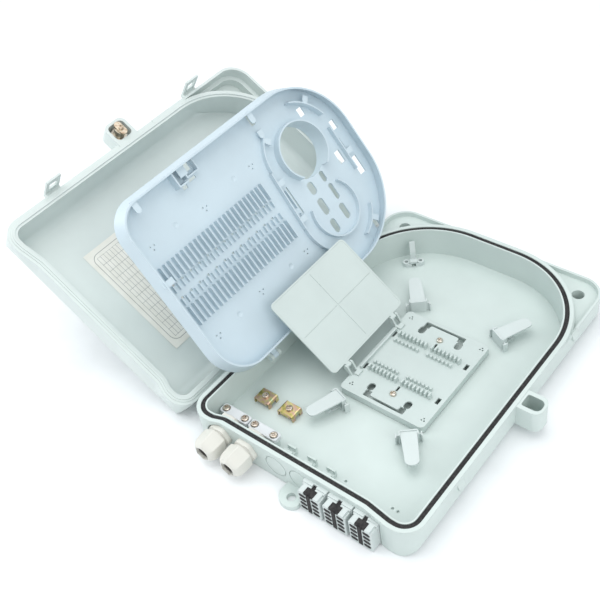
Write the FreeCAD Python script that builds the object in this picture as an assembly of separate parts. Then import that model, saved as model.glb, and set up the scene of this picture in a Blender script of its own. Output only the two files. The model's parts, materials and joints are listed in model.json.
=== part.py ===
"""Wall-mounted fibre termination box, lying open on its back.

Millimetres. Z = 0 is the flat back, +Z out of the box, +X towards the lock side,
+Y towards the end with the two ears. The lid, the adapter tray and the splice
cover are each drawn in an easy pose and then swung open about their own hinges.
"""
import FreeCAD, Part
import math
import os
from FreeCAD import Vector as V

os.makedirs("parts", exist_ok=True)

# ---------------------------------------------------------------- driving dimensions
SEAL_W, SEAL_L = 250.0, 352.0      # centre line of the rubber seal
SEAL_R_TOP, SEAL_R_BOT = 97.0, 15.0
ENTRY_STEP = 4.0                   # the cable-entry wall sits this far in
RIM = 6.5                          # seal line to the outer rim
WALL_IN = 4.0                      # seal line to the inner wall
BASE_H, FLOOR = 38.0, 3.0
EAR_R = 26.0
BACK_R = 17.0                      # big rounding along the back's long edges
LID_Z0, LID_H, LID_SKIN = 38.4, 36.0, 3.0
LID_PIVOT = V(-134.5, 0, 29.0)
LID_OPEN = 147.0
TRAY_PIVOT = V(-108.0, 0, 31.0)
TRAY_OPEN = 127.0
COVER_PIVOT = V(-42.0, 0, 20.0)
COVER_OPEN = 142.0
X_OUT = SEAL_W / 2 + RIM           # 131.5
Y_OUT = SEAL_L / 2 + RIM           # 182.5
Y_ENTRY = -(Y_OUT - ENTRY_STEP)    # outer face of the entry wall
HINGE_Y = (-90.0, 90.0)
CATCH_Y = (-106.0, 106.0)
LOCK = V(143.5, 2.0, 0)
EARS = (V(-108, 160, 0), V(108, 160, 0))
EAR_HOLE_R = 6.5
LUG = V(1, -190, 0)
GLAND_X, ENTRY_Z = (-94.0, -61.0), 20.0
KNOCKOUT_X = (-24.5, 4.5)
PORT_X, PORT_W, PORT_H, PORT_OUT = (26.0, 54.5, 83.0), 25.0, 29.0, 14.0
PORT_PITCH = 6.1                   # between the cable slots of a port
STRAIN_X = ((-113.5, -89.0), (-76.0, -51.5))
STRAIN_Y = -150.0
CLAMP_X, CLAMP_Y = (-94.0, -63.0), -113.0
SPLICE = (-38.0, -63.0, 100.0, 126.0)     # x, y, width, length of the splice tray
SPLICE_TOP = 12.0
SPLICE_SCREWS = (V(14, -42.5, 0), V(14, 42.5, 0))
RETAINERS = ((-35, 76, 40), (63, 79, -27), (-28, -76, 160), (56, -77, -140))
SPOOL_1, SPOOL_2, SPOOL_R = V(-134, 93.6, 0), V(-62, 88.4, 0), 32.6   # fibre spools on the tray
TRAY_D = 16.0
BLADES, BLADE_Y0, BLADE_Y1 = 25, -126.0, 24.0    # each comb: 24 gaps, so 12 adapter places
STRAIN_HEAD, SPLICE_HEAD, CLAMP_HEAD, LOCK_HEAD = 4.0, 3.4, 3.8, 3.2   # screw head radii


# ---------------------------------------------------------------- small drawing helpers
def to_plane(plane, a, b):
    return {"xy": V(a, b, 0), "xz": V(a, 0, b), "yz": V(0, a, b)}[plane]


def rounded_wire(corners, plane="xy", height=0.0):
    """Closed outline through (a, b, radius) corners; each radius becomes a tangent arc."""
    pts = [V(a, b, 0) for a, b, r in corners]
    joints = []
    for i, (a, b, r) in enumerate(corners):
        back = (pts[i - 1] - pts[i]).normalize()
        ahead = (pts[(i + 1) % len(pts)] - pts[i]).normalize()
        half = back.getAngle(ahead) / 2
        if r < 0.05:
            joints.append((pts[i], None, pts[i]))
            continue
        cut = r / math.tan(half)
        mid = (back + ahead).normalize() * (r / math.sin(half) - r)
        joints.append((pts[i] + back * cut, pts[i] + mid, pts[i] + ahead * cut))
    flat = []
    for i, (p, m, q) in enumerate(joints):
        start = joints[i - 1][2]
        if start.distanceToPoint(p) > 1e-6:
            flat.append(("line", start, p))
        if m is not None:
            flat.append(("arc", p, m, q))
    lift = {"xy": V(0, 0, height), "xz": V(0, height, 0), "yz": V(height, 0, 0)}[plane]
    edges = []
    for item in flat:
        w = [to_plane(plane, p.x, p.y) + lift for p in item[1:]]
        edges.append(Part.makeLine(*w) if item[0] == "line" else Part.Arc(*w).toShape())
    return Part.Wire(edges)


def prism(corners, z0, z1):
    return Part.Face(rounded_wire(corners, "xy", z0)).extrude(V(0, 0, z1 - z0))


def along_y(corners, y0, y1):
    return Part.Face(rounded_wire(corners, "xz", y0)).extrude(V(0, y1 - y0, 0))


def along_x(corners, x0, x1):
    return Part.Face(rounded_wire(corners, "yz", x0)).extrude(V(x1 - x0, 0, 0))


def box(x0, x1, y0, y1, z0, z1):
    return Part.makeBox(x1 - x0, y1 - y0, z1 - z0, V(x0, y0, z0))


def rod(r, z0, z1, x=0.0, y=0.0):
    return Part.makeCylinder(r, z1 - z0, V(x, y, z0))


def rod_y(r, y0, y1, x, z):
    return Part.makeCylinder(r, y1 - y0, V(x, y0, z), V(0, 1, 0))


def rect(x0, y0, x1, y1, r):
    return [(x0, y0, r), (x1, y0, r), (x1, y1, r), (x0, y1, r)]


def fuse(first, others):
    return first.multiFuse(list(others)).removeSplitter()


def ring(make, off_out, off_in, z0, z1):
    return prism(make(off_out), z0, z1).cut(prism(make(off_in), z0 - 1, z1 + 1))


def save(name, *solids):
    shape = solids[0] if len(solids) == 1 else Part.makeCompound(list(solids))
    shape.exportStep("parts/" + name + ".step")
    bb = shape.BoundBox
    print(name, len(shape.Solids), "solid", "valid" if shape.isValid() else "INVALID",
          [round(v, 1) for v in (bb.XMin, bb.XMax, bb.YMin, bb.YMax, bb.ZMin, bb.ZMax)])


# ---------------------------------------------------------------- outlines
def outline(off, r_top):
    """The box outline, off millimetres outside the seal line."""
    a, b, s = SEAL_W / 2 + off, SEAL_L / 2 + off, ENTRY_STEP
    return [(-a, -b, SEAL_R_BOT + off), (-104, -b, 12 + off), (-92, s - b, 12 - off),
            (78, s - b, 16 - off), (104, -b, 14 + off), (a, -b, SEAL_R_BOT + off),
            (a, b, r_top + off), (-a, b, r_top + off)]


def d_outline(off):
    return outline(off, SEAL_R_TOP)


def ear_outline(off):
    return outline(off, EAR_R - RIM)


def swing(shape, pivot, degrees):
    """Turn about an axis along Y; a minus angle opens towards -X."""
    turned = shape.copy()
    turned.rotate(pivot, V(0, 1, 0), degrees)
    return turned


# ---------------------------------------------------------------- base
def base_knuckles():
    """Two pairs of hinge eyes on the outside of the left wall."""
    p, parts = LID_PIVOT, []
    for y in HINGE_Y:
        for y0, y1 in ((y - 17, y - 6.2), (y + 6.2, y + 17)):
            parts.append(rod_y(4, y0, y1, p.x, p.z))
            parts.append(box(p.x, -X_OUT + 2, y0, y1, p.z - 4, p.z + 4))
    return parts


def tray_brackets():
    """Forked brackets inside the left wall that carry the adapter tray."""
    p, parts = TRAY_PIVOT, []
    for y in (-77.0, 70.0):
        for y0, y1 in ((y - 7, y - 3.4), (y + 3.4, y + 7)):
            eye = rod_y(3.6, y0, y1, p.x, p.z).fuse(box(-123, p.x, y0, y1, p.z - 3.6, p.z + 3.6))
            parts.append(eye.cut(rod_y(2.05, y0 - 1, y1 + 1, p.x, p.z)))
    return parts


def floor_bosses():
    parts = [rod(4.6, 2, 12.0, x, STRAIN_Y) for pair in STRAIN_X for x in pair]
    parts += [rod(4.2, 2, SPLICE_TOP - 2.2, s.x, s.y) for s in SPLICE_SCREWS]
    parts += [rod(3.4, 2, 9.3, x, CLAMP_Y) for x in CLAMP_X]
    for x in (-31, -6.5, 16.5):                      # cable-tie posts
        post = box(x - 5, x + 5, -156, -146.5, 2, 12).cut(box(x - 3.2, x + 3.2, -160, -140, 6.5, 10.4))
        parts.append(post.cut(box(x - 9, x + 9, -153, -149, 7.5, 14)))
    return parts


def screw_holes():
    holes = [rod(shank_hole(STRAIN_HEAD), 4.5, 13, x, STRAIN_Y) for pair in STRAIN_X for x in pair]
    holes += [rod(shank_hole(SPLICE_HEAD), 4.5, 13, s.x, s.y) for s in SPLICE_SCREWS]
    holes += [rod(shank_hole(CLAMP_HEAD), 3.6, 13, x, CLAMP_Y) for x in CLAMP_X]
    holes += [rod(1.4, 1, 4, x, -147) for x in (32, 85, 91)]
    return holes


def lock_lug_base():
    x, y = LOCK.x, LOCK.y
    lug = prism([(129, y - 12, 0), (155.6, y - 12, 9), (155.6, y + 12, 9), (129, y + 12, 0)], 12, 37.6)
    lug = lug.cut(prism([(134, y - 7.5, 2), (152.8, y - 7.5, 6),
                         (152.8, y + 7.5, 6), (134, y + 7.5, 2)], 30, 40))
    return lug.cut(prism([(133.4, y - 9.6, 2), (153.4, y - 9.6, 7), (153.4, y + 9.6, 7), (133.4, y + 9.6, 2)],
                         15, 36.0))


def entry_cuts():
    """Gland bores, port windows, the flat seats behind the ports, and knock-out grooves."""
    cuts = [rod_y(10.2, -190, -160, x, ENTRY_Z) for x in GLAND_X]
    cuts += [rod_y(14.4, -190, Y_ENTRY, x, ENTRY_Z) for x in GLAND_X]      # round seats for the glands
    for x in PORT_X:
        cuts.append(box(x - 8, x + 8, -190, -160, 7, 27))
        cuts.append(box(x - 14, x + 14, -200, Y_ENTRY, -1, 33))
    for x in KNOCKOUT_X:
        cuts.append(rod_y(12.5, Y_ENTRY - 2, Y_ENTRY + 1.0, x, ENTRY_Z).cut(
            rod_y(11.6, Y_ENTRY - 3, Y_ENTRY + 2, x, ENTRY_Z)))
    return cuts


def base_shell():
    body = prism(ear_outline(RIM), 0, 34).fuse(prism(d_outline(RIM), 0, BASE_H))
    body = body.common(along_y([(-X_OUT, 0, BACK_R), (X_OUT, 0, BACK_R), (X_OUT, 50, 0), (-X_OUT, 50, 0)],
                               -220, 220))
    body = body.common(along_x([(-220, 0, 0), (Y_OUT, 0, BACK_R), (Y_OUT, 50, 0), (-220, 50, 0)],
                               -220, 220))
    body = body.cut(prism(d_outline(-WALL_IN), FLOOR, 60))
    ears = prism(ear_outline(RIM - 2.6), 28.5, 60).cut(prism(d_outline(RIM + 1.2), 0, 70))
    body = body.cut(ears.common(box(-200, 200, 60, 200, 0, 70)))
    catches = [along_y([(X_OUT - 1, 26, 0), (X_OUT + 2.9, 26, 0.4), (X_OUT - 1, 35, 0)], y - 5.2, y + 5.2)
               for y in CATCH_Y]
    lug = prism([(-12.5, -176, 0), (-12.5, -201, 13.4), (14.5, -201, 13.4), (14.5, -176, 0)], 0, 5)
    body = fuse(body, base_knuckles() + [lock_lug_base(), lug] + catches + tray_brackets() + floor_bosses())
    body = body.cut(ring(d_outline, 2.3, -2.3, 32, 40))
    tools = entry_cuts() + screw_holes() + [rod(EAR_HOLE_R, -1, 60, e.x, e.y) for e in EARS]
    tools += [rod(4.5, -1, 9, LUG.x, LUG.y)]
    for y in HINGE_Y:
        tools.append(rod_y(2.0, y - 30, y + 30, LID_PIVOT.x, LID_PIVOT.z))
        tools.append(rod_y(5.0, y - 6.1, y + 6.1, LID_PIVOT.x, LID_PIVOT.z))
        tools.append(box(-141, -131.2, y - 6.1, y + 6.1, 29, 60))
    return body.cut(Part.makeCompound(tools)).removeSplitter()


def base_seal():
    return ring(d_outline, 2.2, -2.2, 32.05, 37.1)


# ---------------------------------------------------------------- things fixed in the base
def shank_hole(head_r):
    """Radius of a hole that just clears the shank, which is half as wide as the head."""
    return head_r / 2 + 0.05


def pan_screw(x, y, z, length, head_r):
    """Cross-recessed pan-head screw with its head's underside at z."""
    head = rod(head_r, z, z + 2.4, x, y)
    head = head.makeFillet(1.3, [e for e in head.Edges if abs(e.BoundBox.ZMin - z - 2.4) < 0.01
                                 and e.Closed])
    head = head.cut(box(x - 0.6, x + 0.6, y - 2.3, y + 2.3, z + 1.3, z + 3))
    head = head.cut(box(x - 2.3, x + 2.3, y - 0.6, y + 0.6, z + 1.3, z + 3))
    return head.fuse(rod(head_r / 2, z - length, z + 0.2, x, y))


def comb(x0, y, count, pitch, tooth, depth, z0, z1):
    return [box(x0 + i * pitch, x0 + i * pitch + tooth, y, y + depth, z0, z1) for i in range(count)]


def splice_tray():
    x0, y0, w, l = SPLICE
    top = SPLICE_TOP
    tray = prism(rect(x0, y0, x0 + w, y0 + l, 5), 4.0, top)
    tray = tray.cut(prism(rect(x0 + 1.8, y0 + 1.8, x0 + w - 1.8, y0 + l - 1.8, 3.4), 3, top - 2))
    cx = x0 + w / 2
    for s in (-1, 1):
        y_tab = s * (l / 2 - 12)
        u = prism(rect(cx - 24, min(y_tab, s * (l / 2 - 4)), cx + 24, max(y_tab, s * (l / 2 - 4)), 1), 0, 30)
        for x in (cx - 22, cx + 22):
            u = u.fuse(prism(rect(x - 3.8, min(y_tab - s * 10, y_tab), x + 3.8,
                                  max(y_tab - s * 10, y_tab + s * 1), 3.7), 0, 30))
        tongue = prism(rect(cx - 17, min(y_tab - s * 4, y_tab + s * 5), cx + 17,
                            max(y_tab - s * 4, y_tab + s * 5), 2), -1, 31)
        tray = tray.cut(u.cut(tongue))
    teeth = []
    for s in (-1, 1):
        for x in (x0 + 12, x0 + 52):
            teeth += comb(x, s * 27 - 2.6, 8, 4.6, 1.9, 5.4, top - 0.5, top + 6.2)
            teeth += comb(x, s * 18 - 1.6, 7, 4.6, 2.2, 3.0, top - 0.5, top + 3.6)
    teeth.append(box(x0 + 4, x0 + 6, -32, 32, top - 0.5, top + 3.5))
    teeth += [box(x0 + 1, x0 + 9, y - 4, y + 4, top - 0.5, top + 2) for y in (-38, 38)]
    for y in (-40.0, 40.0):                            # forked eyes for the cover
        for y_eye in (y - 5.3, y + 3.1):
            eye = rod_y(2.6, y_eye, y_eye + 2.2, COVER_PIVOT.x, COVER_PIVOT.z)
            eye = eye.fuse(along_y([(x0 - 6.4, 17.8, 0), (x0 + 3, top - 2, 0), (x0 + 3, top, 0),
                                    (x0 - 1.6, 21, 0)], y_eye, y_eye + 2.2))
            teeth.append(eye.cut(rod_y(1.05, y - 9, y + 9, COVER_PIVOT.x, COVER_PIVOT.z)))
    tray = fuse(tray, teeth)
    holes = [rod(1.8, 0, 30, s.x, s.y) for s in SPLICE_SCREWS]
    holes += [box(s.x - 1.2, s.x + 1.2, min(s.y * 0.72, s.y * 0.88), max(s.y * 0.72, s.y * 0.88), 5, 20)
              for s in SPLICE_SCREWS]
    for sx in (-1, 1):
        for sy in (-1, 1):
            holes += [rod(0.9, 5, 20, cx + sx * 43 + dx, sy * 54 + dy)
                      for dx, dy in ((0, 0), (3, 0), (1.5, 2.6))]
            holes.append(box(cx + sx * 44 - 2, cx + sx * 44 + 2, sy * 26 - 4, sy * 26 + 4, 5, top + 0.01))
    for y in (-40.0, 40.0):
        holes.append(box(x0 - 8, x0 + 3.6, y - 3.0, y + 3.0, 10.5, 30))
    return tray.cut(Part.makeCompound(holes)).removeSplitter()


def splice_cover():
    """Lift-up cover, drawn shut over the splice tray, hinged along its left edge."""
    px, pz = COVER_PIVOT.x, COVER_PIVOT.z
    plate = prism(rect(px + 3.6, -60.6, px + 99, 60.6, 5.5), pz - 0.9, pz + 0.9)
    plate = plate.cut(prism(rect(px + 5.4, -58.8, px + 97.2, 58.8, 4), pz - 0.9, pz - 0.6))
    parts = []
    for y in (-40.0, 40.0):
        arm = rod_y(1.9, y - 2.8, y + 2.8, px, pz).fuse(box(px, px + 5, y - 2.8, y + 2.8, pz - 0.9, pz + 0.9))
        parts.append(arm.fuse(rod_y(1.0, y - 5.2, y + 5.2, px, pz)))
    plate = fuse(plate, parts)
    for z_low, z_top in ((pz + 0.55, pz + 2), (pz - 2, pz - 0.25)):       # fold lines on both faces
        plate = plate.cut(box(px + 50.6, px + 51.4, -56, 56, z_low, z_top))
        plate = plate.cut(box(px + 9, px + 94, -0.4, 0.4, z_low, z_top))
    return swing(plate, COVER_PIVOT, -COVER_OPEN)


def fibre_retainer(x, y, heading):
    """Post with two side fins and a long flat tongue; heading 0 points along +Y."""
    post = prism([(-9.6, -3.4, 2.5), (9.6, -3.4, 2.5), (9.6, 2.4, 0), (-9.6, 2.4, 0)], FLOOR, 18.2)
    post = post.cut(box(-8.2, 8.2, -2.0, 9, FLOOR + 1.6, 20))
    fins = [box(min(s * 9, s * 13), max(s * 9, s * 13), -1.6, -0.2, FLOOR, 14) for s in (-1, 1)]
    fins += [box(min(s * 11.8, s * 13.2), max(s * 11.8, s * 13.2), -3.6, 1.8, FLOOR, 14) for s in (-1, 1)]
    tongue = prism([(-8.3, -2.2, 0), (8.3, -2.2, 0), (6.6, 37, 6.0), (-6.6, 37, 6.0)], 15.4, 17.0)
    foot = rod(3.4, FLOOR, 6.0, 0, 14).fuse(box(-3, 3, -2, 14, FLOOR, 4.4))
    foot = foot.fuse(box(-0.8, 0.8, -2, 22, 13.4, 15.6))
    stem = fuse(post, fins + [tongue, foot])
    stem.rotate(V(0, 0, 0), V(0, 0, 1), heading)
    stem.translate(V(x, y, 0))
    return stem


def cable_hook():
    """Two-eyed saddle with a tall finger leaning towards the corner of the box."""
    saddle = prism(rect(-12, -4.4, 12, 4.4, 4.2), FLOOR, 6.5)
    saddle = fuse(saddle, [rod(4.2, FLOOR, 8.2, x, 0) for x in (-8, 8)] + [box(-4, 4, -4, 4, FLOOR, 10)])
    saddle = saddle.cut(box(-2.4, 2.4, -6, 1, FLOOR - 1, 7.4))
    for x in (-8, 8):
        saddle = saddle.cut(rod(2.0, 0, 20, x, 0))
    finger = along_x([(1.6, 9.0, 0), (3.4, 9.0, 0), (3.9, 17, 12),
                      (9.6, 29.4, 0.4), (7.6, 30.2, 0.4), (2.1, 18, 12)], -3.1, 3.1)
    hook = saddle.fuse(finger).removeSplitter()
    hook.rotate(V(0, 0, 0), V(0, 0, 1), 40)
    hook.translate(V(-80.5, 134.5, 0))
    return hook


def cable_clamp(x):
    """Bent zinc saddle with a turned-down lip at each end."""
    y = CLAMP_Y
    strap = along_y([(x - 10, 3.1, 0), (x - 8.6, 3.1, 0), (x - 8.6, 9.4, 1), (x + 8.6, 9.4, 1),
                     (x + 8.6, 3.1, 0), (x + 10, 3.1, 0), (x + 10, 10.8, 2), (x - 10, 10.8, 2)],
                    y - 7.5, y + 7.5)
    strap = strap.cut(box(x - 20, x + 20, y - 3.4, y + 3.4, 0, 7.6))
    lips = [box(x - 6.5, x + 6.5, y + s * 7.5 - (1.4 if s > 0 else 0), y + s * 7.5 + (0 if s > 0 else 1.4),
                6.6, 9.6) for s in (-1, 1)]
    return fuse(strap, lips).cut(rod(2.1, 0, 30, x, y)).removeSplitter()


def strain_bar(pair):
    xa, xb = pair
    bar = prism(rect(xa - 5.8, STRAIN_Y - 5.5, xb + 5.8, STRAIN_Y + 5.5, 3), 12.05, 17)
    bar = bar.makeFillet(1.0, [e for e in bar.Edges if abs(e.BoundBox.ZMin - 17) < 0.01])
    grip = Part.makeCylinder(11, 14, V((xa + xb) / 2, STRAIN_Y - 7, 4.0), V(0, 1, 0))
    bar = bar.cut(grip)
    for x in (xa, xb):
        bar = bar.cut(rod(2.2, 0, 30, x, STRAIN_Y)).cut(rod(4.3, 16.2, 30, x, STRAIN_Y))
    return bar


# ---------------------------------------------------------------- cable entries
def hexagon(across, x, z, turn=0):
    r = across / math.cos(math.pi / 6) / 2
    angles = [math.radians(60 * k + turn) for k in range(6)]
    return [(x + r * math.cos(a), z + r * math.sin(a), 1.2) for a in angles]


def gland_body(x):
    z, y = ENTRY_Z, Y_ENTRY
    body = along_y(hexagon(25.0, x, z), y - 5.0, y - 0.05).common(rod_y(13.6, y - 7, y, x, z))
    ridges = [rod_y(12.2, y - 5.7, y - 4.9, x, z), rod_y(11.4, y - 6.9, y - 5.6, x, z)]
    body = fuse(body, ridges + [rod_y(10.0, y - 1, y + 17.5, x, z), rod_y(9.6, y - 17, y - 5, x, z)])
    return body.cut(rod_y(7.6, y - 30, y + 30, x, z))


def gland_locknut(x):
    y = Y_ENTRY + 2 * WALL_IN + 2.55 + 0.05
    nut = along_y(hexagon(25.0, x, ENTRY_Z), y, y + 5)
    return nut.cut(rod_y(10.05, y - 5, y + 15, x, ENTRY_Z))


def gland_nut(x):
    """Domed hexagon nut that squeezes the seal onto the cable."""
    z, y = ENTRY_Z, Y_ENTRY
    nut = along_y(hexagon(25.4, x, z, 30), y - 29.5, y - 7.1)
    dome = Part.makeSphere(15.2, V(x, y - 16.5, z)).fuse(rod_y(14.2, y - 17, y, x, z))
    nut = nut.common(dome).cut(rod_y(30, y - 40, y - 28.6, x, z))
    nut = nut.cut(rod_y(9.7, y - 18, y, x, z)).cut(rod_y(6.6, y - 40, y, x, z))
    return nut.removeSplitter()


def gland_seal(x):
    """Rubber ring that grips a cable of 6 to 8 mm, set back inside the nut's mouth."""
    z, y = ENTRY_Z, Y_ENTRY
    return rod_y(6.3, y - 26.0, y - 8, x, z).cut(rod_y(3.8, y - 40, y, x, z))


def port_block(x):
    """Drop-cable block: two columns of four oval cable slots beside a rubber spine."""
    y, z0 = Y_ENTRY, 1.5
    block = prism([(x - PORT_W / 2, y - PORT_OUT, 1.2), (x + PORT_W / 2, y - PORT_OUT, 1.2),
                   (x + PORT_W / 2, y - 0.05, 0), (x - PORT_W / 2, y - 0.05, 0)], z0, z0 + PORT_H)
    block = block.fuse(box(x - 13.4, x + 13.4, y - 4, y - 0.05, z0, z0 + PORT_H + 1.4))
    block = block.fuse(box(x - 7.6, x + 7.6, y - 1, y + 12, 7.4, 26.6))
    block = block.cut(box(x - 2.2, x + 2.2, y - 20, y - 1.5, z0 + 2, z0 + PORT_H + 3))
    block = block.cut(box(x - 5.6, x + 5.6, y - 20, y - 6.2, z0 + PORT_H - 3.2, z0 + PORT_H + 3))
    tools = []
    for col in (-7.0, 7.0):
        for k in range(4):
            z = z0 + 4.6 + PORT_PITCH * k
            for grow, depth in ((0.6, 0.5), (0, 6)):           # a shallow lip around each slot
                half_w, half_h = 3.8 + grow, 2.1 + grow
                slot = rect(x + col - half_w, z - half_h, x + col + half_w, z + half_h, 2.05 + grow)
                tools.append(along_y(slot, y - 20, y - PORT_OUT + depth))
        notch = x + 1.71 * col
        tools.append(box(notch - 1.2, notch + 1.2, y - 20, y - 5.5, z0 + PORT_H - 2.4, z0 + PORT_H + 3))
    return block.cut(Part.makeCompound(tools)).removeSplitter()


def port_seal(x):
    """Rubber spine with a T-shaped head, and a plug in every slot."""
    y, z0 = Y_ENTRY, 1.5
    front = y - PORT_OUT
    seal = box(x - 2.1, x + 2.1, front - 0.5, y - 1.6, z0 + 2.1, z0 + PORT_H - 0.4)
    seal = seal.fuse(box(x - 5.4, x + 5.4, front + 0.8, y - 6.3, z0 + PORT_H - 3.1, z0 + PORT_H + 0.5))
    plugs = []
    for col in (-7.0, 7.0):
        for k in range(4):
            z = z0 + 4.6 + PORT_PITCH * k
            plug = rect(x + col - 3.7, z - 2.0, x + col + 3.7, z + 2.0, 1.95)
            plugs.append(along_y(plug, front + 0.1, front + 5.1))
    return seal, plugs


# ---------------------------------------------------------------- lid
def lid_shell():
    z0, z1 = LID_Z0, LID_Z0 + LID_H
    x, y = X_OUT, Y_OUT

    def xz(w, z_low, z_top, inset, r):
        return along_y([(-w, z_low, 0), (w, z_low, 0), (w, z_low + 8, 40), (w - inset, z_top, r),
                        (inset - w, z_top, r), (-w, z_low + 8, 40)], -220, 220)

    def yz(l, z_low, z_top, inset, r):
        return along_x([(-l, z_low, 0), (l, z_low, 0), (l, z_low + 8, 40), (l - inset, z_top, r),
                        (inset - l, z_top, r), (-l, z_low + 8, 40)], -220, 220)

    body = prism(ear_outline(RIM), z0, z1)
    body = body.common(xz(x, z0, z1, 7, 14)).common(yz(y, z0, z1, 7, 14))
    hollow = prism(d_outline(-WALL_IN), z0 - 1, z1 - LID_SKIN)
    inset = RIM + WALL_IN
    hollow = hollow.common(xz(x - inset, z0 - 1, z1 - LID_SKIN, 5.5, 9))
    hollow = hollow.common(yz(y - inset, z0 - 1, z1 - LID_SKIN, 5.5, 9))
    body = body.cut(hollow)
    pocket = prism(ear_outline(RIM - 3.2), z0 - 1, z0 + 13)
    pocket = pocket.fuse(prism(ear_outline(RIM - 8.5), z0 - 1, z0 + 24))
    pocket = pocket.cut(prism(d_outline(4.0), 0, 90))
    body = body.cut(pocket.common(box(-200, 200, 60, 200, 0, 90)))
    body = body.cut(ring(d_outline, RIM + 5, 3.4, z0 - 1, z0 + 1.0).common(box(-200, 200, -190, 40, 0, 90)))
    add = [ring(d_outline, 1.2, -1.2, 37.3, z0 + 1)]
    lx, ly = LOCK.x, LOCK.y
    lug = prism([(128, ly - 14.5, 0), (157, ly - 14.5, 8), (157, ly + 14.5, 8), (128, ly + 14.5, 0)], z0, 58)
    add.append(lug)
    for yc in CATCH_Y:
        add.append(box(129, 137.2, yc - 9.5, yc + 9.5, 41, 47))
        add.append(box(134.8, 137.2, yc - 9.5, yc + 9.5, 19, 47).cut(
            box(130, 140, yc - 5.6, yc + 5.6, 25.6, 35.4)))
    for yc in HINGE_Y:
        add.append(rod_y(4.0, yc - 5.8, yc + 5.8, LID_PIVOT.x, LID_PIVOT.z))
        add.append(box(-138.5, -132.0, yc - 5.8, yc + 5.8, LID_PIVOT.z, 46))
        add.append(box(-138.5, -129.0, yc - 5.8, yc + 5.8, z0 + 0.4, 46))
    body = fuse(body, add)
    body = body.cut(prism(rect(133.6, ly - 10.9, 153.6, ly + 10.9, 5), z0 - 1, 52))
    body = body.cut(rod(6.2, 40, 70, lx, ly))
    for yc in HINGE_Y:
        body = body.cut(rod_y(2.05, yc - 9, yc + 9, LID_PIVOT.x, LID_PIVOT.z))
    return swing(body.removeSplitter(), LID_PIVOT, -LID_OPEN)


def lid_label():
    z = LID_Z0 + LID_H - LID_SKIN
    return swing(prism(rect(-75, -124, 65, -68, 1.5), z - 0.35, z - 0.02), LID_PIVOT, -LID_OPEN)


def lock_parts():
    """Barrel, washer, nut, cam and cam screw of the quarter-turn lock, drawn shut."""
    x, y = LOCK.x, LOCK.y
    barrel = rod(6.1, 36.0, 58.2, x, y).fuse(rod(9.5, 58.05, 60.4, x, y))
    angles = [math.radians(a) for a in (90, 210, 330)]
    corners = [(x + 4 * math.cos(a), y + 4 * math.sin(a), 0) for a in angles]
    key = prism(corners, 54, 64)
    barrel = barrel.cut(key).cut(rod(shank_hole(LOCK_HEAD), 30, 46, x, y))
    washer = rod(9.8, 50.7, 51.95, x, y).cut(rod(6.4, 45, 60, x, y))
    nut = prism([(x + 9.9 * math.cos(math.radians(60 * k)), y + 9.9 * math.sin(math.radians(60 * k)), 0.8)
                 for k in range(6)], 46.2, 50.65).cut(rod(6.15, 40, 60, x, y))
    cam = prism(rect(x - 8.6, y - 4.4, x + 8.6, y + 4.4, 4.2), 33.2, 35.95)
    cam = cam.cut(rod(shank_hole(LOCK_HEAD), 30, 46, x, y))
    screw = pan_screw(x, y, 0, 9.0, LOCK_HEAD)
    screw.rotate(V(x, y, 0), V(1, 0, 0), 180)
    screw.translate(V(0, 0, 33.15))
    return [swing(s, LID_PIVOT, -LID_OPEN) for s in (barrel, washer, nut, cam, screw)]


# ---------------------------------------------------------------- adapter tray
def tray_outline(inset):
    """Drawn lying open: the hinge edge is at +X, the free edge at -X."""
    i = inset
    return [(i - 206.0, i - 140.2, 33 - i), (4.3 - i, i - 140.2, 43 - i),
            (4.3 - i, 167.3 - i, 90 - i), (i - 206.0, 167.3 - i, 77 - i)]


def tapered(inset0, z0, inset1, z1):
    return Part.makeLoft([rounded_wire(tray_outline(inset0), "xy", z0),
                          rounded_wire(tray_outline(inset1), "xy", z1)], True, True)


def arc_wall(cx, cy, r, a0, a1, z1, thick=1.6):
    wall = rod(r + thick / 2, 1, z1, cx, cy).cut(rod(r - thick / 2, 0, z1 + 1, cx, cy))
    angles = [math.radians(a0 + (a1 - a0) * k / 4) for k in range(5)]
    far = [V(cx, cy, 0)] + [V(cx + 2 * r * math.cos(a), cy + 2 * r * math.sin(a), 0) for a in angles]
    return wall.common(Part.Face(Part.makePolygon(far + far[:1])).extrude(V(0, 0, 40)))


def fibre_finger(x, y, heading, length, z):
    """Flat rounded finger that keeps fibres down; heading 0 reaches along -Y from its wall."""
    finger = prism([(-3.4, -length / 2, 3.3), (3.4, -length / 2, 3.3),
                    (3.4, length / 2, 0), (-3.4, length / 2, 0)], z, z + 1.4)
    finger.rotate(V(0, 0, 0), V(0, 0, 1), heading)
    finger.translate(V(x, y, 0))
    return finger


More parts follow.
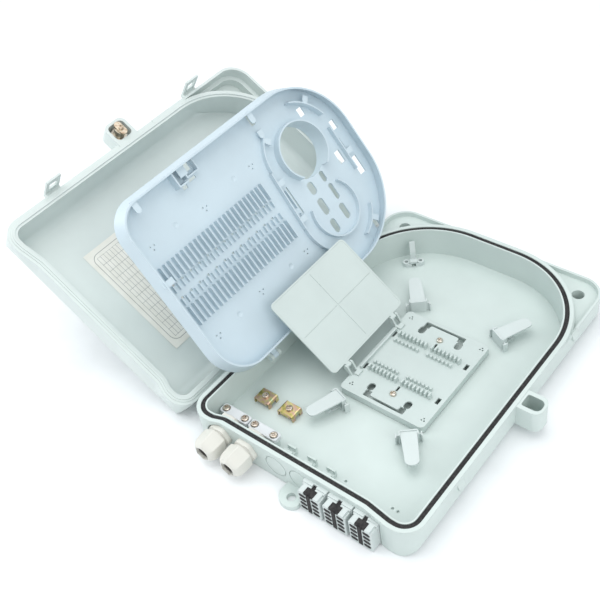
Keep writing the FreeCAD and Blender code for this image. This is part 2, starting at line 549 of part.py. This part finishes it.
def adapter_tray():
    pan = tapered(0, 0, 4.3, TRAY_D).cut(tapered(2.0 + 0.54, 2.0, 6.4, TRAY_D + 0.4))
    add, cut = [], []
    pitch = (BLADE_Y1 - BLADE_Y0) / (BLADES - 1)
    for blade, clip in (((-135.5, -115.5), (-113.5, -106.0)), ((-88.5, -66.5), (-98.5, -91.0))):
        for k in range(BLADES):                      # adapter slots: long blades and short clips
            y = BLADE_Y0 + pitch * k
            add.append(box(blade[0], blade[1], y, y + 1.3, 1, 8.6))
            add.append(box(clip[0], clip[1], y, y + 1.3, 1, 6.0))
            if k % 2 == 0 and k < BLADES - 1:
                cut.append(box(clip[0] - 1.2, clip[0] + 1.6, y + 2.4, y + 5.1, -1, 4))
    add.append(rod(SPOOL_R, -11.0, 12.0, SPOOL_1.x, SPOOL_1.y))     # a deep open spool
    add.append(rod(SPOOL_R, 0.5, 7.6, SPOOL_2.x, SPOOL_2.y))        # a shallow one with a floor
    cut.append(rod(SPOOL_R - 1.8, -12, 30, SPOOL_1.x, SPOOL_1.y))
    cut.append(rod(SPOOL_R - 1.8, 2, 30, SPOOL_2.x, SPOOL_2.y))
    gap = [(SPOOL_2.x, SPOOL_2.y), (SPOOL_2.x - 24, SPOOL_2.y - 47), (SPOOL_2.x - 60, SPOOL_2.y),
           (SPOOL_2.x - 34, SPOOL_2.y + 35)]
    cut.append(prism([(x, y, 0) for x, y in gap], 2, 30))      # the second spool is open on one side
    add += [arc_wall(SPOOL_1.x, SPOOL_1.y, 48, 219, 268, 7.8),
            arc_wall(SPOOL_2.x, SPOOL_2.y, 49, 266, 318, 7.8),
            prism([(-135.5, 44.2, 0), (-135.5, 42.6, 0), (-66, 38.6, 0), (-66, 40.2, 0)], 1, 7.8),
            arc_wall(SPOOL_1.x, SPOOL_1.y, 52, 108, 160, 11), box(-134, -79, 142, 143.5, 1, 8),
            arc_wall(SPOOL_2.x, SPOOL_2.y, 48, 17, 62, 9), box(-112, -82, 46.5, 47.9, 1, 6)]
    for x, y, a, z in ((-174.5, 61.5, 90, 6.2), (-164.7, 62.8, -52, 6.2), (-121.5, 46.5, 0, 6.2),
                       (-77, 44.2, 0, 6.2), (-174.4, 132.6, 46, 9.4), (-100, 147, 0, 6.4),
                       (-24, 123.9, -47, 7.4)):
        add.append(fibre_finger(x, y, a, 9, z))                # fingers on the inner walls
    for x0, x1, y0, y1, r in ((-102, -87, 75, 84, 4), (-103, -90, 97.6, 104, 3), (-86, -66, 99, 105, 3),
                              (-81, -61, 74, 83, 4), (-61, -42, 95, 103, 3.6), (-55, -38, 73, 81, 4),
                              (-108, -93, 131, 139, 0.6), (-117, -104, 145, 149, 0.6),
                              (-91, -69, 146, 155, 0.6), (-138, -127, 149, 156, 0.6),
                              (-171, -161, 121, 129, 0.6), (-200, -186, 61, 68, 0.6),
                              (-23, -11, 122, 129, 0.6), (-114, -80, 51, 53, 0.6)):
        cut.append(prism(rect(x0, y0, x1, y1, r), -1, 5))
    add += [box(-201.5, -183, -58, -56.4, 1, 13), box(-184.6, -183, -58, -44, 1, 11),      # latch block
            box(-201.5, -186, -27, -25.4, 1, 9), box(-196, -186, -44, -42.4, 1, 11),
            box(-187.6, -186, -44, -25.4, 1, 9), box(-201.5, -190, -50, -40, 9.4, 11)]
    cut += [box(-182, -178, -50, -44, -1, 5), box(-184, -181, -40, -30, -1, 5),
            box(-199, -191, -38, -29, -1, 5)]
    for x, y, a in ((-195.4, 58, 90), (-195.4, -110, 90), (-120, -131.5, 0)):
        add.append(fibre_finger(x, y, a, 14, TRAY_D - 2.6))    # fingers on the outer wall
    for x, y in ((-156, 5), (-157, -81), (-47, 0), (-47, -83)):
        cut.append(Part.makeSphere(5.2, V(x, y, 6.2)))         # shallow dimples
    for x, y in ((-153, -45), (-156, -118), (-50, -49), (-47, -118), (-49, 24), (-156, 29)):
        cut += [rod(0.9, -1, 4, x + dx, y + dy) for dx, dy in ((0, 0), (4.4, 2), (0.6, 5))]
    for y in (-77.0, 70.0):                          # arms with stub pins for the hinge brackets
        arm = box(1.5, 10.5, y - 3.1, y + 3.1, -3.2, 1.8).fuse(rod_y(3.4, y - 3.1, y + 3.1, 10.5, -0.7))
        add += [arm, rod_y(2.0, y - 6.8, y + 6.8, 10.5, -0.7)]
    pan = fuse(pan, add).cut(Part.makeCompound(cut)).removeSplitter()
    pan.translate(V(TRAY_PIVOT.x - 10.5, 0, TRAY_PIVOT.z + 0.7))
    return swing(pan, TRAY_PIVOT, 180 - TRAY_OPEN)


# ---------------------------------------------------------------- write every piece
save("base_shell", base_shell())
save("base_seal", base_seal())
save("hinge_pins", *[rod_y(1.95, y - 16.9, y + 16.9, LID_PIVOT.x, LID_PIVOT.z) for y in HINGE_Y])
save("splice_tray", splice_tray())
save("splice_tray_screws", *[pan_screw(s.x, s.y, SPLICE_TOP + 0.05, 6.5, SPLICE_HEAD) for s in SPLICE_SCREWS])
save("splice_cover", splice_cover())
for n, (rx, ry, ra) in enumerate(RETAINERS, 1):
    save("fibre_retainer_%d" % n, fibre_retainer(rx, ry, ra))
save("cable_hook", cable_hook())
for n, cx in enumerate(CLAMP_X, 1):
    save("cable_clamp_%d" % n, cable_clamp(cx))
save("cable_clamp_screws", *[pan_screw(x, CLAMP_Y, 10.85, 6.5, CLAMP_HEAD) for x in CLAMP_X])
for n, pair in enumerate(STRAIN_X, 1):
    save("strain_bar_%d" % n, strain_bar(pair))
save("strain_bar_screws", *[pan_screw(x, STRAIN_Y, 16.25, 11.0, STRAIN_HEAD)
                            for pair in STRAIN_X for x in pair])
for n, gx in enumerate(GLAND_X, 1):
    save("gland_body_%d" % n, gland_body(gx))
    save("gland_locknut_%d" % n, gland_locknut(gx))
    save("gland_nut_%d" % n, gland_nut(gx))
    save("gland_seal_%d" % n, gland_seal(gx))
for n, ox in enumerate(PORT_X, 1):
    save("drop_port_%d" % n, port_block(ox))
    spine, ovals = port_seal(ox)
    save("drop_port_seal_%d" % n, spine, *ovals)
save("lid_shell", lid_shell())
save("contents_label", lid_label())
for name, solid in zip(("lock_barrel", "lock_washer", "lock_nut", "lock_cam", "lock_screw"), lock_parts()):
    save(name, solid)
save("adapter_tray", adapter_tray())
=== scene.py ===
import json
import math
import bpy
from mathutils import Matrix, Vector


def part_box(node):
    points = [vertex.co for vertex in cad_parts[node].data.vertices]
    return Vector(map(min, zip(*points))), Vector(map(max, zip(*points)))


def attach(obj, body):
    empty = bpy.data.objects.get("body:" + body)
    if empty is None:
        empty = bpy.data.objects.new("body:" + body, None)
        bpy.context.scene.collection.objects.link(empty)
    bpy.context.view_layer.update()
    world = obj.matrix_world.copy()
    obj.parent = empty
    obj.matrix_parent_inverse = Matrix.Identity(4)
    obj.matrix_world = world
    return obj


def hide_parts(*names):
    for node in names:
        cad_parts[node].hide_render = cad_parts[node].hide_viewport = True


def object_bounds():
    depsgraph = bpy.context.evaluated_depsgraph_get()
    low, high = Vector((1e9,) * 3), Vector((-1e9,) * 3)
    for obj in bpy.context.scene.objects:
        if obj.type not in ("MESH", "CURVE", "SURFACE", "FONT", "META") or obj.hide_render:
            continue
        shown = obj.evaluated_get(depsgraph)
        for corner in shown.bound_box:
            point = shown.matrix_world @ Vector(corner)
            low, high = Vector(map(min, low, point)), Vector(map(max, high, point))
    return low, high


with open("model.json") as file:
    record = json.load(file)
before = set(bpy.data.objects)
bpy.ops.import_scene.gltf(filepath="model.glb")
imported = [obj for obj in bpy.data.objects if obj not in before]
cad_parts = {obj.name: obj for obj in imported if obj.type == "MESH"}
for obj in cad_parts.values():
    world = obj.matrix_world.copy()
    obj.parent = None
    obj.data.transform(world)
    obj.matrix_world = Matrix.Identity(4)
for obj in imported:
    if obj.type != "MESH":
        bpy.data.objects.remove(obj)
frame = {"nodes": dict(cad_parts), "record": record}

nodes = frame["nodes"]
size_at_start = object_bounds()
bpy.ops.object.select_all(action="DESELECT")


# ---- Base shell ------------------------------------------------------------------------------------
# The base is one injection moulding in light grey ABS with a faint green cast: a flat back, low walls,
# two recessed mounting ears, and the bosses that hold the parts inside. The mould leaves a fine satin
# on it, the shade drifts slightly over large areas, and every edge is a little round.
def shader_node(tree, kind, **values):
    """Adds a shader node and sets its sockets, named in small letters, or else its own settings."""
    node = tree.nodes.new(kind)
    for name, value in values.items():
        socket = name.replace("_", " ").title()
        if socket in node.inputs:
            node.inputs[socket].default_value = value
        else:
            setattr(node, name, value)
    return node


def shade_between(tree, pattern, shades, low=0.3, high=0.7):
    """Colours a 0 to 1 pattern with two or more shades, spread from low to high."""
    ramp_node = shader_node(tree, "ShaderNodeValToRGB")
    ramp = ramp_node.color_ramp
    while len(ramp.elements) < len(shades):
        ramp.elements.new(0.5)
    for k, shade in enumerate(shades):
        ramp.elements[k].position = low + (high - low) * k / (len(shades) - 1)
        ramp.elements[k].color = (*shade, 1)
    tree.links.new(pattern, ramp_node.inputs["Fac"])
    return ramp_node.outputs["Color"]


def rough_between(tree, pattern, low, high):
    """Turns a 0 to 1 pattern into a roughness."""
    spread = shader_node(tree, "ShaderNodeMapRange", to_min=low, to_max=high)
    tree.links.new(pattern, spread.inputs["Value"])
    return spread.outputs["Result"]


def noise(tree, size_mm, detail=2.0):
    """A cloudy pattern whose lumps are about size_mm across."""
    place = shader_node(tree, "ShaderNodeTexCoord").outputs["Object"]
    cloud = shader_node(tree, "ShaderNodeTexNoise", scale=1000.0 / size_mm, detail=detail)
    tree.links.new(place, cloud.inputs["Vector"])
    return cloud.outputs["Fac"]


def moulded_plastic(name, shade, roughness, grain_mm=0.3, grain_depth=0.10, edge_mm=0.45, glow=0.0):
    """Moulded plastic: slow drifts of shade and gloss, faint flow marks, fine mould grain, soft edges."""
    plastic = bpy.data.materials.new(name)
    plastic.use_nodes = True
    tree = plastic.node_tree
    shader = tree.nodes["Principled BSDF"]
    shader.inputs["IOR"].default_value = 1.5
    shader.inputs["Subsurface Weight"].default_value = glow
    shader.inputs["Subsurface Radius"].default_value = (0.003, 0.003, 0.003)
    drift = noise(tree, 45, 3.0)
    grain = noise(tree, grain_mm)
    deeper = tuple(c * 0.94 for c in shade)
    tree.links.new(shade_between(tree, drift, (deeper, shade)), shader.inputs["Base Color"])
    tree.links.new(rough_between(tree, drift, roughness - 0.06, roughness + 0.08), shader.inputs["Roughness"])
    soft_edge = shader_node(tree, "ShaderNodeBevel", samples=6, radius=edge_mm / 1000)
    flow = shader_node(tree, "ShaderNodeBump", strength=0.06, distance=0.0006)
    mould = shader_node(tree, "ShaderNodeBump", strength=grain_depth, distance=0.0001)
    tree.links.new(soft_edge.outputs["Normal"], flow.inputs["Normal"])
    tree.links.new(noise(tree, 9, 1.0), flow.inputs["Height"])
    tree.links.new(flow.outputs["Normal"], mould.inputs["Normal"])
    tree.links.new(grain, mould.inputs["Height"])
    tree.links.new(mould.outputs["Normal"], shader.inputs["Normal"])
    return plastic


def finish(material, *names):
    """Gives CAD nodes their material."""
    for name in names:
        nodes[name].data.materials.clear()
        nodes[name].data.materials.append(material)


base_grey = moulded_plastic("base_grey", (0.60, 0.68, 0.655), 0.40, edge_mm=0.7)
finish(base_grey, "base_shell")


# ---- Base gasket -----------------------------------------------------------------------------------
# A black rubber cord lies in the groove round the rim. Its skin is matt and finely uneven, with faint
# pale wear where it was handled.
def black_rubber(name, lump_mm, shade=(0.012, 0.012, 0.013), worn=(0.05, 0.048, 0.047), roughness=0.55):
    """Rubber with faint pale wear and a finely uneven skin."""
    rubber = bpy.data.materials.new(name)
    rubber.use_nodes = True
    tree = rubber.node_tree
    shader = tree.nodes["Principled BSDF"]
    shader.inputs["Specular IOR Level"].default_value = 0.35
    wear = noise(tree, 2.5, 4.0)
    tree.links.new(shade_between(tree, wear, (shade, worn), 0.4, 0.75), shader.inputs["Base Color"])
    tree.links.new(rough_between(tree, wear, roughness, roughness + 0.25), shader.inputs["Roughness"])
    soft_edge = shader_node(tree, "ShaderNodeBevel", samples=6, radius=0.0006)
    skin = shader_node(tree, "ShaderNodeBump", strength=0.5, distance=0.0002)
    tree.links.new(soft_edge.outputs["Normal"], skin.inputs["Normal"])
    tree.links.new(noise(tree, lump_mm, 1.0), skin.inputs["Height"])
    tree.links.new(skin.outputs["Normal"], shader.inputs["Normal"])
    return rubber


gasket_rubber = black_rubber("gasket_rubber", 0.8)
finish(gasket_rubber, "base_seal")


# ---- Lid and hinge pins ----------------------------------------------------------------------------
# The lid is moulded in the same plastic as the base. Its colour is painted a touch paler than the base's,
# as painted light standing in for light on its tilted inner face. It swings on two steel pins pushed
# through the eyes on the base's left wall.
def worn_metal(name, shade, tarnish, roughness, scratch_mm=0.4):
    """Plated or turned metal: patches of tarnish, fine scratches and softly rounded edges."""
    metal = bpy.data.materials.new(name)
    metal.use_nodes = True
    tree = metal.node_tree
    shader = tree.nodes["Principled BSDF"]
    shader.inputs["Metallic"].default_value = 1.0
    patches = noise(tree, 3.0, 4.0)
    tree.links.new(shade_between(tree, patches, (tarnish, shade), 0.35, 0.6), shader.inputs["Base Color"])
    tree.links.new(rough_between(tree, patches, roughness + 0.12, roughness), shader.inputs["Roughness"])
    soft_edge = shader_node(tree, "ShaderNodeBevel", samples=6, radius=0.0003)
    scratches = shader_node(tree, "ShaderNodeBump", strength=0.15, distance=0.0001)
    tree.links.new(soft_edge.outputs["Normal"], scratches.inputs["Normal"])
    tree.links.new(noise(tree, scratch_mm, 3.0), scratches.inputs["Height"])
    tree.links.new(scratches.outputs["Normal"], shader.inputs["Normal"])
    return metal


# Painted light: the base's plastic drawn a touch paler so the lid's tilted inner face reads lighter.
lid_grey_painted_lighter = moulded_plastic("lid_grey_painted_lighter", (0.66, 0.725, 0.705), 0.42, edge_mm=0.6)
finish(lid_grey_painted_lighter, "lid_shell")
pin_steel = worn_metal("pin_steel", (0.62, 0.61, 0.59), (0.38, 0.36, 0.33), 0.28)
finish(pin_steel, "hinge_pins")


# ---- Contents label --------------------------------------------------------------------------------
# A cream paper label is stuck inside the lid for the installer's notes. It is printed with a rounded
# frame round a table of empty cells, and its glue has let a corner lift slightly.
def printed_table(name, tilt, centre, width, height):
    """Paper printed with a rounded frame and thin table lines; tilt and centre lay the print on the label."""
    paper = bpy.data.materials.new(name)
    paper.use_nodes = True
    tree = paper.node_tree
    shader = tree.nodes["Principled BSDF"]
    shader.inputs["Roughness"].default_value = 0.62

    def maths(operation, first, second=None):
        step = shader_node(tree, "ShaderNodeMath", operation=operation)
        for socket, value in zip(step.inputs, (first, second)):
            if isinstance(value, float):
                socket.default_value = value
            elif value is not None:
                tree.links.new(value, socket)
        return step.outputs["Value"]

    place = shader_node(tree, "ShaderNodeTexCoord").outputs["Object"]
    lay = shader_node(tree, "ShaderNodeMapping", vector_type="TEXTURE")
    lay.inputs["Location"].default_value = centre
    lay.inputs["Rotation"].default_value = (0, tilt, 0)
    tree.links.new(place, lay.inputs["Vector"])
    split = shader_node(tree, "ShaderNodeSeparateXYZ")
    tree.links.new(lay.outputs["Vector"], split.inputs["Vector"])
    along, across = split.outputs["X"], split.outputs["Y"]

    def lines(where, pitch, offset, thick):
        """1 on thin lines that repeat every pitch metres."""
        turns = maths("FRACT", maths("MULTIPLY", maths("ADD", where, offset), 1.0 / pitch))
        return maths("LESS_THAN", turns, thick / pitch)

    def inside(half_along, half_across, corner):
        """1 inside a rounded rectangle."""
        dx = maths("MAXIMUM", maths("SUBTRACT", maths("ABSOLUTE", along), half_along - corner), 0.0)
        dy = maths("MAXIMUM", maths("SUBTRACT", maths("ABSOLUTE", across), half_across - corner), 0.0)
        reach = maths("SQRT", maths("ADD", maths("MULTIPLY", dx, dx), maths("MULTIPLY", dy, dy)))
        return maths("LESS_THAN", reach, corner)

    frame_line, cell_line, cell_rim = 0.0007, 0.00045, 0.0003
    frame_corner, frame_inner_corner, cell_corner = 0.009, 0.0085, 0.001
    half_columns, half_rows, ink_strength = 6, 4, 0.72
    frame_half = (width / 2 - 0.006, height / 2 - 0.005)
    cells_half = (width / 2 - 0.011, height / 2 - 0.010)
    within_line = inside(frame_half[0] - frame_line, frame_half[1] - frame_line, frame_inner_corner)
    border = maths("SUBTRACT", inside(*frame_half, frame_corner), within_line)
    columns = lines(along, cells_half[0] / half_columns, cells_half[0], cell_line)
    rows = lines(across, cells_half[1] / half_rows, cells_half[1], cell_line)
    within_cells = inside(cells_half[0] + cell_rim, cells_half[1] + cell_rim, cell_corner)
    cells = maths("MULTIPLY", maths("MAXIMUM", columns, rows), within_cells)
    ink = maths("MULTIPLY", maths("MAXIMUM", border, cells), ink_strength)
    paper_shade = shade_between(tree, noise(tree, 12, 3.0), ((0.76, 0.755, 0.69), (0.83, 0.825, 0.77)))
    print_mix = shader_node(tree, "ShaderNodeMix", data_type="RGBA")
    tree.links.new(ink, print_mix.inputs["Factor"])
    tree.links.new(paper_shade, print_mix.inputs["A"])
    print_mix.inputs["B"].default_value = (0.16, 0.17, 0.17, 1)
    tree.links.new(print_mix.outputs["Result"], shader.inputs["Base Color"])
    fibre = shader_node(tree, "ShaderNodeBump", strength=0.12, distance=0.0001)
    tree.links.new(noise(tree, 0.25, 2.0), fibre.inputs["Height"])
    tree.links.new(fibre.outputs["Normal"], shader.inputs["Normal"])
    return paper


lid_tilt = -math.radians(frame["record"]["behaviour"]["joints"][0]["range_deg"][1])
out_of_lid = Vector((math.sin(lid_tilt), 0, math.cos(lid_tilt)))
label_low, label_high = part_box("contents_label")
label_centre = (label_low + label_high) / 2
label_width = math.hypot(label_high.x - label_low.x, label_high.z - label_low.z)
label_height = label_high.y - label_low.y
label_print = printed_table("label_print", lid_tilt, label_centre, label_width, label_height)
paper_thickness, glue_gap = 0.0002, 0.00012
curl_height, curl_reach = 0.0009, 0.22            # the reach is a share of the label's width and height

bpy.ops.mesh.primitive_grid_add(x_subdivisions=36, y_subdivisions=16, size=1)
label = bpy.context.object
label.name = "printed_label"
bpy.ops.transform.resize(value=(label_width, label_height, 1))
bpy.ops.object.transform_apply(scale=True)
for point in label.data.vertices:
    from_corner = Vector((point.co.x / label_width + 0.5, point.co.y / label_height + 0.5))
    point.co.z = -curl_height * max(0.0, 1 - from_corner.length / curl_reach) ** 2
stiffen = label.modifiers.new("thickness", "SOLIDIFY")
stiffen.thickness = paper_thickness
stiffen.offset = 0
bpy.ops.object.modifier_apply(modifier=stiffen.name)
label.rotation_euler = (0, lid_tilt, 0)
label.location = label_centre - glue_gap * out_of_lid
bpy.ops.object.transform_apply(location=True, rotation=True)
bpy.ops.object.shade_smooth_by_angle(angle=math.radians(40))
label.data.materials.append(label_print)
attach(label, "lid")
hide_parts("contents_label")
bpy.ops.object.select_all(action="DESELECT")


# ---- Adapter tray ----------------------------------------------------------------------------------
# The swing-out tray is moulded in pale blue ABS with thin walls, so a little light passes through it.
# It holds two combs of adapter places, two fibre spools and the fingers that keep the fibres down.
tray_blue = moulded_plastic("tray_blue", (0.57, 0.675, 0.735), 0.36, edge_mm=0.5, glow=0.04)
finish(tray_blue, "adapter_tray")


# ---- Splice tray, its screws and the cover ---------------------------------------------------------
# The splice tray is a thin pale grey moulding on two nickel-plated screws. Its cover, in the same
# plastic with a smoother skin, clips between two forked eyes and folds up.
splice_grey = moulded_plastic("splice_grey", (0.55, 0.625, 0.605), 0.36, edge_mm=0.35)
finish(splice_grey, "splice_tray")
cover_grey = moulded_plastic("cover_grey", (0.58, 0.655, 0.635), 0.30, grain_depth=0.05, edge_mm=0.35)
finish(cover_grey, "splice_cover")
pale_nickel = worn_metal("pale_nickel", (0.72, 0.69, 0.63), (0.52, 0.43, 0.32), 0.22)
finish(pale_nickel, "splice_tray_screws")


# ---- Fibre retainers and cable hook ----------------------------------------------------------------
# Four clips with flat tongues hold coils of fibre down along the walls, and a tall hook in a corner
# turns the cable. They are push-in mouldings in a slightly whiter plastic.
clip_white = moulded_plastic("clip_white", (0.61, 0.675, 0.665), 0.34, edge_mm=0.4)
finish(clip_white, *(f"fibre_retainer_{n}" for n in range(1, 5)), "cable_hook")


# ---- Cable clamps ----------------------------------------------------------------------------------
# Two bent steel saddles clamp the cables' strength members. Their yellow zinc shines in olive, gold,
# pink and green patches, and the screws are nickel plated.
yellow_zinc = worn_metal("yellow_zinc", (0.60, 0.50, 0.19), (0.30, 0.26, 0.10), 0.26)
zinc_tree = yellow_zinc.node_tree
oil_film = noise(zinc_tree, 9, 1.5)
zinc_shades = ((0.30, 0.27, 0.09), (0.58, 0.49, 0.18), (0.62, 0.40, 0.34),
               (0.66, 0.58, 0.26), (0.46, 0.52, 0.32))
zinc_colour = shade_between(zinc_tree, oil_film, zinc_shades, 0.3, 0.72)
zinc_tree.links.new(zinc_colour, zinc_tree.nodes["Principled BSDF"].inputs["Base Color"])
finish(yellow_zinc, "cable_clamp_1", "cable_clamp_2")
nickel = worn_metal("nickel", (0.66, 0.60, 0.52), (0.42, 0.33, 0.26), 0.20)
finish(nickel, "cable_clamp_screws")


# ---- Strain relief bars ----------------------------------------------------------------------------
# Two white bars press the cables down beside the entries. Each is a smooth nylon moulding held by two
# cross-headed screws that sit in round recesses.
bar_white = moulded_plastic("bar_white", (0.72, 0.75, 0.77), 0.30, grain_depth=0.05, edge_mm=0.6, glow=0.05)
finish(bar_white, "strain_bar_1", "strain_bar_2")
finish(nickel, "strain_bar_screws")


# ---- Cable glands ----------------------------------------------------------------------------------
# Two plastic glands clamp the feeder cables. Each is an ivory nylon body through the wall, a locknut
# inside, a soft seal, and a domed hexagon nut with well rounded corners and a deep open mouth.
gland_ivory = moulded_plastic("gland_ivory", (0.70, 0.695, 0.64), 0.28,
                              grain_depth=0.05, edge_mm=0.9, glow=0.06)
finish(gland_ivory, "gland_body_1", "gland_body_2", "gland_locknut_1", "gland_locknut_2")
gland_rubber = black_rubber("gland_rubber", 0.6, (0.055, 0.05, 0.045), (0.12, 0.11, 0.10))
finish(gland_rubber, "gland_seal_1", "gland_seal_2")


def pick_faces(piece, wanted):
    """Selects only the faces for which wanted(face) is true, and stays in edit mode."""
    bpy.ops.object.mode_set(mode="OBJECT")
    for element in (*piece.data.vertices, *piece.data.edges):
        element.select = False
    for face in piece.data.polygons:
        face.select = wanted(face)
    bpy.ops.object.mode_set(mode="EDIT")
    bpy.ops.mesh.select_mode(type="FACE")


flats_share = 0.52                                # of the nut's length; the dome takes the rest
nut_steps = (                                     # forward in nut lengths, then the share of width kept
    (0.24, 0.95), (0.17, 0.83), (0.07, 0.80),     # over the dome
    (0.0, 0.90), (-0.62, 1.0),                    # in from the rim, and back to make the mouth
)
for number, body in ((1, "gland_nut_left"), (2, "gland_nut_right")):
    nut_low, nut_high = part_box(f"gland_nut_{number}")
    nut_length, nut_corner = nut_high.y - nut_low.y, (nut_high.z - nut_low.z) / 2
    nut_axis = (nut_low + nut_high) / 2
    flats_length = flats_share * nut_length
    flats_centre = (nut_axis.x, nut_high.y - flats_length / 2, nut_axis.z)
    bpy.ops.mesh.primitive_cylinder_add(vertices=6, radius=nut_corner, depth=flats_length,
                                        location=flats_centre, rotation=(math.pi / 2, 0, 0))
    nut = bpy.context.object
    nut.name = f"domed_gland_nut_{number}"
    bpy.ops.object.transform_apply(location=True, rotation=True)
    for forward, shrink in nut_steps:
        pick_faces(nut, lambda face: face.normal.y < -0.99 and face.area > 1e-5)
        bpy.ops.mesh.extrude_region_move(TRANSFORM_OT_translate={"value": (0, -forward * nut_length, 0)})
        bpy.ops.transform.resize(value=(shrink, 1, shrink), center_override=nut_axis)
    bpy.ops.object.mode_set(mode="OBJECT")
    crease = nut.modifiers.new("soft corners", "BEVEL")
    crease.width = 0.0016
    crease.segments = 2
    crease.limit_method = "ANGLE"
    crease.angle_limit = math.radians(25)
    smooth = nut.modifiers.new("smooth skin", "SUBSURF")
    smooth.levels = smooth.render_levels = 2
    for step in (crease.name, smooth.name):
        bpy.ops.object.modifier_apply(modifier=step)
    bpy.ops.object.shade_smooth()
    nut.data.materials.append(gland_ivory)
    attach(nut, body)
    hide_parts(f"gland_nut_{number}")
    bpy.ops.object.select_all(action="DESELECT")


# ---- Drop cable ports ------------------------------------------------------------------------------
# Three grey blocks by the glands take eight flat drop cables each. Black rubber plugs close the oval
# slots, and a rubber spine with a T-shaped head runs down the middle of every block.
port_grey = moulded_plastic("port_grey", (0.60, 0.66, 0.65), 0.38, edge_mm=0.35)
finish(port_grey, "drop_port_1", "drop_port_2", "drop_port_3")
port_rubber = black_rubber("port_rubber", 0.5)
finish(port_rubber, "drop_port_seal_1", "drop_port_seal_2", "drop_port_seal_3")


# ---- Lock ------------------------------------------------------------------------------------------
# A quarter-turn lock sits in a pocket at the lid's edge: a nickel-plated barrel with a washer and a
# hexagon nut behind it, and a brass-coloured cam held on by a screw.
lock_steel = worn_metal("lock_steel", (0.70, 0.66, 0.58), (0.46, 0.40, 0.32), 0.24)
finish(lock_steel, "lock_barrel", "lock_washer", "lock_nut")
cam_brass = worn_metal("cam_brass", (0.68, 0.60, 0.48), (0.48, 0.36, 0.26), 0.28)
finish(cam_brass, "lock_cam", "lock_screw")


# ---- Table, light and camera -----------------------------------------------------------------------
# The box lies on a plain pale table under three wide soft lights, in a plain pale surround. The camera
# looks down on it from the front right.
table_gap = 0.0002
table_height = size_at_start[0][2] - table_gap
bpy.ops.mesh.primitive_plane_add(size=9, location=(0, 0, table_height))
table = bpy.context.object
table.name = "table"
table_white = moulded_plastic("table_white", (0.90, 0.915, 0.93), 0.55,
                              grain_mm=3, grain_depth=0.03, edge_mm=0.1)
table.data.materials.append(table_white)

studio = bpy.data.worlds.new("studio")
studio.use_nodes = True
studio.node_tree.nodes["Background"].inputs["Color"].default_value = (0.94, 0.975, 1.0, 1)
studio.node_tree.nodes["Background"].inputs["Strength"].default_value = 0.74
bpy.context.scene.world = studio
bpy.context.scene.view_settings.view_transform = "Standard"


def soft_light(name, place, aim, width, power, tint):
    """A square studio light that points at a spot on the box."""
    bpy.ops.object.light_add(type="AREA", location=place)
    lamp = bpy.context.object
    lamp.name = name
    lamp.data.size = width
    lamp.data.energy = power
    lamp.data.color = tint
    lamp.rotation_euler = (Vector(aim) - Vector(place)).to_track_quat("-Z", "Y").to_euler()


soft_light("overhead_light", (-0.3, 0.1, 2.3), (-0.05, 0, 0), 2.2, 26, (1.0, 1.0, 1.0))
soft_light("left_light", (-1.6, -0.9, 1.0), (-0.1, 0, 0.05), 1.2, 12, (0.97, 0.99, 1.0))
soft_light("right_light", (1.6, -0.6, 1.4), (-0.15, 0, 0.05), 1.4, 14, (1.0, 1.0, 0.99))

camera_right = Vector((0.7746, 0.6197, -0.1264))
camera_up = Vector((-0.3659, 0.6021, 0.7096))
bpy.ops.object.camera_add(location=(0.3951, -0.5187, 0.7446))
camera = bpy.context.object
turn = Matrix((camera_right, camera_up, camera_right.cross(camera_up))).transposed()
camera.rotation_euler = turn.to_euler()
camera.data.sensor_width = 36
camera.data.lens = 57.0
camera.data.clip_start = 0.01
bpy.context.scene.camera = camera
